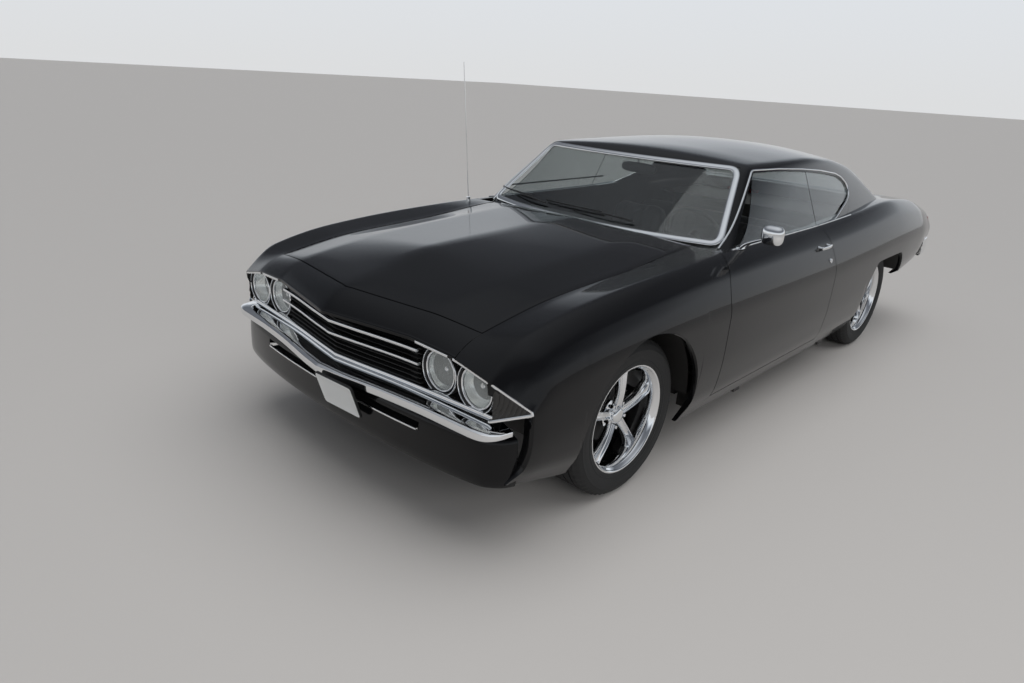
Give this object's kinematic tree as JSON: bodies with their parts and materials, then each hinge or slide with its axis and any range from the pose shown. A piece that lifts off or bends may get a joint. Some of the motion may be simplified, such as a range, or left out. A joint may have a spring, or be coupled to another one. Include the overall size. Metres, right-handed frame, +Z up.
{
  "type": "two-door hardtop muscle car",
  "caption": "Late 1960s two-door hardtop muscle car in black, with opening doors, hood and deck lid, steered front wheels and rolling wheels.",
  "frame": {"origin": "on the ground, midway between the bumpers' ends and midway across the body", "axes": "+Z up, -Y towards the nose, +X towards the car's left, the driver's side"},
  "size_m": [1.9831, 4.9925, 1.6901],
  "materials": {
    "body_paint": "gloss black paint",
    "glass": "clear tinted glass",
    "chrome": "bright chrome plating",
    "grille_black": "satin black",
    "lamp_glass": "clear fluted lamp glass",
    "corner_lens": "clear ribbed lens",
    "tail_lens": "dark red lens",
    "plate": "blank pale plate",
    "chassis_black": "satin black chassis paint",
    "engine_paint": "grey cast iron",
    "exhaust_steel": "dull steel",
    "interior_black": "grained black trim",
    "seat_vinyl": "black vinyl",
    "wheel_chrome": "polished wheel",
    "tyre_rubber": "black tyre rubber"
  },
  "bodies": {
    "body": {"header_panel": "body_paint", "fenders": "body_paint", "quarters": "body_paint", "roof": "body_paint", "tail_panel": "body_paint", "front_valance": "body_paint", "windshield": "glass", "backlight": "glass", "quarter_glass": "glass", "front_bumper": "chrome", "rear_bumper": "chrome", "grille_mouldings": "chrome", "antenna": "chrome", "grille": "grille_black", "front_lamps": "lamp_glass", "corner_lamps": "corner_lens", "tail_lamps": "tail_lens", "number_plate": "plate", "cowl": "chassis_black", "floor": "chassis_black", "chassis": "chassis_black", "inner_fenders": "chassis_black", "rear_axle": "chassis_black", "suspension": "chassis_black", "fuel_tank": "chassis_black", "engine": "engine_paint", "exhaust": "exhaust_steel", "dashboard": "interior_black", "front_seats": "seat_vinyl", "rear_seat": "seat_vinyl"},
    "hood": {"hood": "body_paint"},
    "deck_lid": {"deck_lid": "body_paint"},
    "door_left": {"door_left": "body_paint", "door_glass_left": "glass", "door_fittings_left": "chrome"},
    "door_right": {"door_right": "body_paint", "door_glass_right": "glass", "door_fittings_right": "chrome"},
    "knuckle_left": {"knuckle_left": "chassis_black"},
    "knuckle_right": {"knuckle_right": "chassis_black"},
    "steering_wheel": {"steering_wheel": "interior_black"},
    "wheel_front_left": {"rim_front_left": "wheel_chrome", "tyre_front_left": "tyre_rubber"},
    "wheel_front_right": {"rim_front_right": "wheel_chrome", "tyre_front_right": "tyre_rubber"},
    "wheel_rear_left": {"rim_rear_left": "wheel_chrome", "tyre_rear_left": "tyre_rubber"},
    "wheel_rear_right": {"rim_rear_right": "wheel_chrome", "tyre_rear_right": "tyre_rubber"}
  },
  "joints": [
    {"name": "door_left_hinge", "type": "hinge", "parent": "body", "child": "door_left", "pos_m": [0.925, -1.06, 0.565], "axis": [0, 0, -1], "range_deg": [0, 65]},
    {"name": "door_right_hinge", "type": "hinge", "parent": "body", "child": "door_right", "pos_m": [-0.925, -1.06, 0.565], "axis": [0, 0, 1], "range_deg": [0, 65]},
    {"name": "hood_hinge", "type": "hinge", "parent": "body", "child": "hood", "pos_m": [0, -0.9, 0.91], "axis": [-1, 0, 0], "range_deg": [0, 50]},
    {"name": "deck_lid_hinge", "type": "hinge", "parent": "body", "child": "deck_lid", "pos_m": [0, 1.811, 0.948], "axis": [1, 0, 0], "range_deg": [0, 60]},
    {"name": "steering_turn", "type": "hinge", "parent": "body", "child": "steering_wheel", "pos_m": [0.37, -0.33, 0.85], "axis": [0, 0.9063, 0.4226], "range_deg": [-450, 450]},
    {"name": "steer_left", "type": "hinge", "parent": "body", "child": "knuckle_left", "pos_m": [0.69, -1.5805, 0.341], "axis": [0, 0, 1], "range_deg": [-30.5, 30.5]},
    {"name": "steer_right", "type": "hinge", "parent": "body", "child": "knuckle_right", "pos_m": [-0.69, -1.5805, 0.341], "axis": [0, 0, 1], "range_deg": [-30.5, 30.5]},
    {"name": "wheel_front_left_spin", "type": "hinge", "parent": "knuckle_left", "child": "wheel_front_left", "pos_m": [0.759, -1.5805, 0.341], "axis": [1, 0, 0], "continuous": true},
    {"name": "wheel_front_right_spin", "type": "hinge", "parent": "knuckle_right", "child": "wheel_front_right", "pos_m": [-0.759, -1.5805, 0.341], "axis": [1, 0, 0], "continuous": true},
    {"name": "wheel_rear_left_spin", "type": "hinge", "parent": "body", "child": "wheel_rear_left", "pos_m": [0.746, 1.2645, 0.341], "axis": [1, 0, 0], "continuous": true},
    {"name": "wheel_rear_right_spin", "type": "hinge", "parent": "body", "child": "wheel_rear_right", "pos_m": [-0.746, 1.2645, 0.341], "axis": [1, 0, 0], "continuous": true}
  ],
  "couplings": [
    {"joint": "steer_left", "follows": "steering_turn", "ratio": 0.066667},
    {"joint": "steer_right", "follows": "steering_turn", "ratio": 0.066667}
  ]
}
